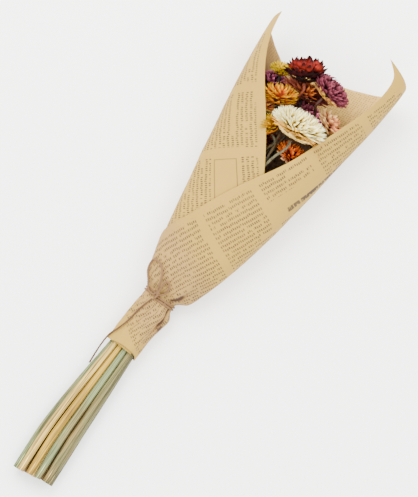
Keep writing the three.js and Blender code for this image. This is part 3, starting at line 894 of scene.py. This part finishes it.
class BouquetStems(bpy.types.PropertyGroup):
    rib_depth: bpy.props.FloatProperty(
        name="Rib depth", description="Depth of the ribs, as a share of the radius",
        default=0.08)
    green: bpy.props.FloatVectorProperty(
        name="Green stems", description="Colour of the grey-green stems", subtype="COLOR",
        size=4, default=tone(98, 106, 72))
    # Painted shade: stems that show only in shaded gaps take this dark colour.
    dark: bpy.props.FloatVectorProperty(
        name="Dark stems", description="Colour of the stems that show only in gaps",
        subtype="COLOR", size=4, default=tone(44, 36, 18))
    cream: bpy.props.FloatVectorProperty(
        name="Cream stems", description="Colour of the palest stems", subtype="COLOR", size=4,
        default=tone(158, 134, 72))
    olive: bpy.props.FloatVectorProperty(
        name="Olive stems", description="Colour of the olive stems", subtype="COLOR", size=4,
        default=tone(92, 88, 56))
    upper: bpy.props.FloatVectorProperty(
        name="Upper stems", description="Colour of the stems inside the wrap", subtype="COLOR",
        size=4, default=tone(58, 52, 38))
    straw: bpy.props.FloatVectorProperty(
        name="Straw stems", description="Colour of the straw-yellow stems", subtype="COLOR",
        size=4, default=tone(147, 118, 38))


class BouquetTwine(bpy.types.PropertyGroup):
    lay: bpy.props.FloatProperty(
        name="Lay", description="Length of one turn of a strand", default=0.0055,
        unit="LENGTH")
    colour: bpy.props.FloatVectorProperty(
        name="Colour", description="Colour of the jute", subtype="COLOR", size=4,
        default=tone(112, 84, 54))


class BouquetStage(bpy.types.PropertyGroup):
    camera_distance: bpy.props.FloatProperty(
        name="Camera distance", description="Height of the camera over the bouquet",
        default=4.0, unit="LENGTH")
    picture_height: bpy.props.FloatProperty(
        name="Picture height", description="Height of the framed surface", default=0.3976,
        unit="LENGTH")


class BOUQUET_OT_wrap(bpy.types.Operator):
    """Rolls the printed sheet round the stems"""

    bl_idname = "bouquet.wrap"
    bl_label = "Paper Wrap"

    def execute(self, context):
        settings = context.scene.bouquet_paper
        rows, columns = SHEET_GRID
        mesh = bmesh.new()
        bmesh.ops.create_grid(mesh, x_segments=rows, y_segments=columns, size=1)
        place_sheet(mesh, rows, columns)
        mesh.normal_update()
        outside = newsprint_material(
            "newsprint_outside", tuple(settings.outside), tuple(settings.ink), 0.95, settings)
        # Inner face: its pale colour is painted light, its last colour painted shade deep inside.
        inside = newsprint_material(
            "newsprint_inside", tuple(settings.inside), tone(75, 56, 38), 0.6, settings,
            tone(92, 66, 44))
        piece = piece_from(mesh, "newsprint_cone", (outside, inside))
        solid = piece.modifiers.new("paper", "SOLIDIFY")
        solid.thickness = settings.thickness
        solid.offset = 0
        solid.material_offset = 1
        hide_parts("paper_wrap")
        return {"FINISHED"}


class BOUQUET_OT_stems(bpy.types.Operator):
    """Makes the ribbed dry stems"""

    bl_idname = "bouquet.stems"
    bl_label = "Stems"

    def execute(self, context):
        settings = context.scene.bouquet_stems
        chance = random.Random(5)
        for name in BLOOMS:
            middles, radii = centre_line("stem_" + name)
            route = spline([place / MM for place in middles])
            count = len(radii) - 1

            def radius_at(share, radii=radii, count=count):
                k = min(int(share * count), count - 1)
                mix = share * count - k
                swell = 1.06 + 0.03 * math.sin(share * 41 + count)
                return (radii[k] * (1 - mix) + radii[k + 1] * mix) / MM * swell

            mesh = bmesh.new()
            rise = mesh.verts.layers.float.new("rise")
            rib = mesh.verts.layers.float.new("rib")
            stem = sweep(mesh, route, radius_at, STEM_SIDES, settings.rib_depth, STEM_RIBS)
            for i, vert in enumerate(stem):
                k = i // STEM_SIDES
                centre, radius = route[k], radius_at(k / (len(route) - 1))
                # Rise over the stem's middle, which sets the painted shade of its lower side.
                vert[rise] = (vert.co.z - centre.z) / radius
                # Height over the ribs, which sets their painted shade and light.
                vert[rib] = ((vert.co - centre).length / radius - 1) / settings.rib_depth
                vert.co.z = max(vert.co.z, LOWEST_STEM)
            to_metres(mesh)
            base = getattr(settings, STEM_TONES[name])
            warm = chance.uniform(-0.07, 0.07)
            colour = (base[0] * (1 + warm), base[1] * (1 + warm * 0.6), base[2] * (1 - warm), 1)
            # Its last colour is painted shade close to the blooms, near black unless listed.
            material = straw_material(
                "straw_" + name, colour, UPPER_TONES.get(name, tuple(settings.upper)),
                SHADED_STEM_TONES.get(name, tone(29, 21, 15)))
            piece = piece_from(mesh, "dry_stem_" + name, (material,))
            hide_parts("stem_" + name)
        return {"FINISHED"}


class BOUQUET_OT_blooms(bpy.types.Operator):
    """Grows the thirteen blooms petal by petal"""

    bl_idname = "bouquet.blooms"
    bl_label = "Blooms"

    def execute(self, context):
        settings = context.scene.bouquet_blooms
        for name in BLOOMS:
            mesh, layers, place, heading, pitch, radius, depth = build_bloom(
                name, settings.fullness)
            bmesh.ops.transform(mesh, verts=mesh.verts, matrix=facing_turn(heading, pitch))
            bmesh.ops.translate(mesh, verts=mesh.verts, vec=place)
            if name == "yellow":
                spill_petals(mesh, layers)
            bmesh.ops.solidify(mesh, geom=mesh.faces[:], thickness=settings.petal_thickness / MM)
            if name == "white":
                route = spline([over_paper(*point) for point in STRAY_FIBRE])
                for vert in sweep(mesh, route, lambda share: 0.25):
                    vert[layers[1]] = tone(150, 118, 66)
            petals = len(mesh.faces)
            heart = bmesh.ops.create_uvsphere(mesh, u_segments=24, v_segments=14, radius=1)
            low, wide = HEART_SHAPE.get(name, PLAIN_HEART)
            bmesh.ops.transform(
                mesh, verts=heart["verts"], matrix=Matrix.Translation(place)
                @ facing_turn(heading, pitch)
                @ Matrix.Translation((0, 0, -depth * low))
                @ Matrix.Diagonal((radius * wide, radius * wide, depth * (0.62 - low), 1)))
            mesh.faces.ensure_lookup_table()
            for face in mesh.faces[petals:]:
                face.material_index = 1
            to_metres(mesh)
            piece = piece_from(mesh, "petals_of_" + name, (
                petal_material("petals_" + name),
                heart_material("heart_" + name, tone(*HEART_TONES[name]))))
            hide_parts("bloom_" + name)
        return {"FINISHED"}


def plied(mesh, route, radius, lay):
    """Adds three strands twisted round the route."""
    layers = mesh.verts.layers.float
    run, around = (layers.get(key) or layers.new(key) for key in ("run", "around"))
    line = even(route, STRAND_GAP)
    frames = carried_frames(line)
    for strand in range(3):
        turned = [beside(centre, frames[k], math.tau * (strand / 3 + k * STRAND_GAP / lay),
                         radius * 0.50) for k, centre in enumerate(line)]
        for i, vert in enumerate(sweep(mesh, turned, lambda share: radius * 0.54)):
            vert[run] = (i // STRAND_SIDES) * STRAND_GAP
            vert[around] = abs((i % STRAND_SIDES) - 3) / 3 + strand


class BOUQUET_OT_twine(bpy.types.Operator):
    """Winds and knots the jute twine round the neck"""

    bl_idname = "bouquet.twine"
    bl_label = "Twine and Bow"

    def execute(self, context):
        settings = context.scene.bouquet_twine
        mesh = bmesh.new()
        lay = settings.lay / MM
        coil = []
        steps = 40
        for k in range(steps * TWINE_TURNS + 1):
            side = (COIL_START - 360 * k / steps) % 360
            past = side > FLAP_STEP
            layered = side - 360 if past else side
            spiral = LAYER_PITCH * (1 - smooth(side, 277, 330)) if past else 0
            x = NECK_X + TWINE_PITCH * (k / steps - TWINE_TURNS / 2)
            coil.append(wrap_point(x, layered, COIL_STAND + spiral))
        plied(mesh, coil, TWINE_RADIUS, lay)
        knot = over_paper(*KNOT, TWINE_STAND + 1.1)
        for loop in (LARGE_LOOP, SMALL_LOOP):
            points = [knot] + [over_paper(*point) for point in loop]
            points.append(knot + Vector((0.4, -0.6, 0.6)))
            plied(mesh, spline(points), TWINE_RADIUS, lay)
        wound = []
        for k in range(25):
            turn = math.radians(18 * k)
            wound.append(knot + Vector((
                1.9 * math.cos(turn), -1.5 + 0.13 * k, 1.5 * math.sin(turn))))
        plied(mesh, wound, TWINE_RADIUS, lay)
        to_metres(mesh)
        piece = piece_from(mesh, "jute_bow", (jute_material("jute_bow", tuple(settings.colour)),))
        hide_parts("twine_tie")
        return {"FINISHED"}


class BOUQUET_OT_tail(bpy.types.Operator):
    """Lays the free end of the twine over the skirt"""

    bl_idname = "bouquet.tail"
    bl_label = "Twine Tail"

    def execute(self, context):
        settings = context.scene.bouquet_twine
        points = [over_paper(*point) for point in TAIL_ON_PAPER]
        points += [Vector(point) for point in TAIL_BEYOND]
        route = even(spline(points, 8), 1.5)
        mesh = bmesh.new()
        plied(mesh, route, TAIL_RADIUS, settings.lay / MM)
        to_metres(mesh)
        piece = piece_from(
            mesh, "jute_tail", (jute_material("jute_tail", scaled(settings.colour, 0.5)),))
        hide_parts("twine_tail")
        return {"FINISHED"}


class BOUQUET_OT_stage(bpy.types.Operator):
    """Sets the floor, the soft lights and the camera over the bouquet"""

    bl_idname = "bouquet.stage"
    bl_label = "Stage"

    def execute(self, context):
        settings = context.scene.bouquet_stage
        mesh = bmesh.new()
        bmesh.ops.create_grid(mesh, x_segments=1, y_segments=1, size=3)
        shading = Shading("pale_floor")
        grain = shading.noise(shading.object_place(), 60.0, 3.0)
        shading.feed(shading.surface.inputs["Base Color"], shading.mix(
            grain, (0.93, 0.93, 0.925, 1), (0.95, 0.95, 0.945, 1)))
        shading.surface.inputs["Roughness"].default_value = 0.9
        floor = object_from(mesh, "pale_floor", (shading.material,))

        world = bpy.data.worlds.new("studio")
        world.use_nodes = True
        sky = world.node_tree.nodes["Background"].inputs
        sky[0].default_value = (1.0, 0.99, 0.97, 1)
        sky[1].default_value = SKY_POWER
        context.scene.world = world
        for name, place, size, power in LAMPS:
            lamp = bpy.data.lights.new(name, "AREA")
            lamp.size = size
            lamp.energy = power
            lamp.color = (1.0, 0.985, 0.96)
            holder = placed(name, lamp)
            holder.location = place
            holder.rotation_euler = Vector(place).to_track_quat("Z", "Y").to_euler()

        camera = bpy.data.cameras.new("camera")
        camera.sensor_fit = "VERTICAL"
        camera.sensor_height = FILM_HEIGHT
        camera.lens = FILM_HEIGHT * settings.camera_distance / settings.picture_height
        camera.clip_start = 0.05
        holder = placed("camera", camera)
        holder.location = Vector(CAMERA_AIM) + Vector((0, 0, settings.camera_distance))
        holder.rotation_euler = (0, 0, math.radians(CAMERA_TURN))
        context.scene.camera = holder
        return {"FINISHED"}


class BOUQUET_PT_panel(bpy.types.Panel):
    """Lists the bouquet's sizes, colours and pieces"""

    bl_idname = "BOUQUET_PT_panel"
    bl_label = "Dried Bouquet"
    bl_space_type = "VIEW_3D"
    bl_region_type = "UI"
    bl_category = "Bouquet"

    def draw(self, context):
        layout = self.layout
        for key in SETTINGS:
            column = layout.column(align=True)
            group = getattr(context.scene, key)
            for name in group.__annotations__:
                column.prop(group, name)
        for operator in OPERATORS:
            layout.operator(operator.bl_idname)


SETTINGS = {
    "bouquet_stage": BouquetStage,
    "bouquet_twine": BouquetTwine,
    "bouquet_paper": BouquetPaper,
    "bouquet_stems": BouquetStems,
    "bouquet_blooms": BouquetBlooms,
}
OPERATORS = (BOUQUET_OT_stage, BOUQUET_OT_tail, BOUQUET_OT_twine, BOUQUET_OT_wrap,
             BOUQUET_OT_stems, BOUQUET_OT_blooms)


def register():
    for group in SETTINGS.values():
        bpy.utils.register_class(group)
    for operator in OPERATORS:
        bpy.utils.register_class(operator)
    bpy.utils.register_class(BOUQUET_PT_panel)
    for key, group in SETTINGS.items():
        setattr(bpy.types.Scene, key, bpy.props.PointerProperty(type=group))


def unregister():
    for key in SETTINGS:
        delattr(bpy.types.Scene, key)
    bpy.utils.unregister_class(BOUQUET_PT_panel)
    for operator in reversed(OPERATORS):
        bpy.utils.unregister_class(operator)
    for group in reversed(SETTINGS.values()):
        bpy.utils.unregister_class(group)


def main():
    register()
    bpy.ops.bouquet.stage()
    bpy.ops.bouquet.tail()
    bpy.ops.bouquet.twine()
    bpy.ops.bouquet.wrap()
    bpy.ops.bouquet.stems()
    bpy.ops.bouquet.blooms()


if __name__ == "__main__":
    main()
